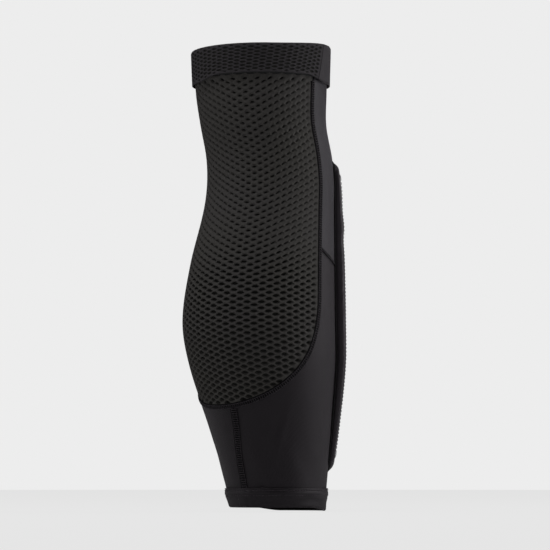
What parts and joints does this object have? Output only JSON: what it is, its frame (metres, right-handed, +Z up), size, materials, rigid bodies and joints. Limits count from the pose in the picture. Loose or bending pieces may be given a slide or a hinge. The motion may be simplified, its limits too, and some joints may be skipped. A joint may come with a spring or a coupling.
{
  "type": "shin guard",
  "caption": "Slip-on shin guard: stretch lower-leg sleeve with a breathable mesh calf, folded cuffs and a raised segmented foam pad over the shin.",
  "frame": {"origin": "middle of the guard's footprint box, on the plane that its bottom rim stands on", "axes": "+Z up the leg from the ankle rim to the knee rim, -Y out of the shin, +Y out of the calf, -X to the wearer's right"},
  "size_m": [0.1248, 0.1346, 0.374],
  "materials": {
    "mesh_knit": "matte",
    "smooth_knit": "satin",
    "elastic": "matte",
    "lining": "matte",
    "silicone": "satin",
    "pad_skin": "satin",
    "foam": "matte",
    "binding": "matte",
    "thread": "satin"
  },
  "bodies": {
    "root": {"calf_mesh_panel": "mesh_knit", "front_upper_panel": "smooth_knit", "lower_panel": "smooth_knit", "top_cuff_mesh_band": "mesh_knit", "top_cuff_front_band": "smooth_knit", "bottom_hem_band": "smooth_knit", "top_elastic_tape": "elastic", "bottom_elastic_tape": "elastic", "top_silicone_gripper": "silicone", "bottom_silicone_gripper": "silicone", "pad_cover": "pad_skin", "pad_backing": "lining", "pad_foam_block_1": "foam", "pad_foam_block_2": "foam", "pad_foam_block_3": "foam", "pad_foam_block_4": "foam", "pad_foam_block_5": "foam", "pad_edge_binding": "binding", "pad_edge_stitching": "thread", "calf_seam_stitching": "thread", "back_seam_stitching": "thread", "front_seam_stitching_right": "thread", "front_seam_stitching_left": "thread", "top_cuff_stitching": "thread", "hem_stitching": "thread"}
  },
  "joints": []
}
